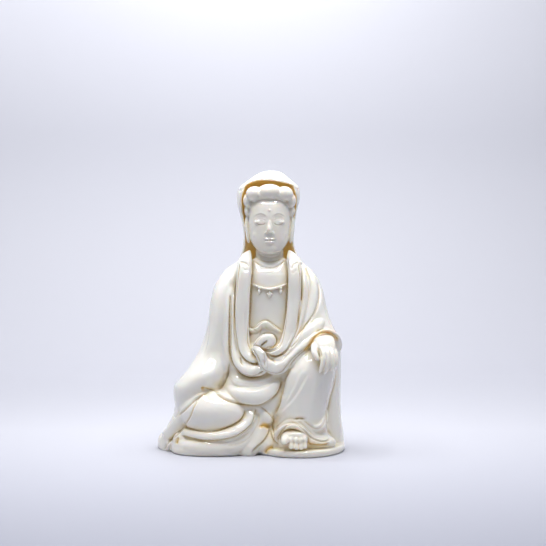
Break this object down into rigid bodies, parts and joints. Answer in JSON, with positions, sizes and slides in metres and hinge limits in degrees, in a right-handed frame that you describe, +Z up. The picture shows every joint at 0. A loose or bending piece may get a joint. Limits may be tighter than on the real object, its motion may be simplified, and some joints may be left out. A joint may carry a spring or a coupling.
{
  "type": "guanyin figure",
  "caption": "Seated robed guanyin in glazed white porcelain, veiled head, knee raised with the hand resting on it, on the spread hem of its robe.",
  "frame": {"origin": "under the middle of the figure, on the ground", "axes": "+Z up, the figure faces -Y, and its raised knee is on the +X side"},
  "size_m": [0.2032, 0.1493, 0.3],
  "materials": {
    "ivory_glaze": "glossy ivory-white glaze over white porcelain, warmer and amber where it lies thick or light comes through in deep folds"
  },
  "bodies": {
    "root": {"guanyin_figure": "ivory_glaze"}
  },
  "joints": []
}
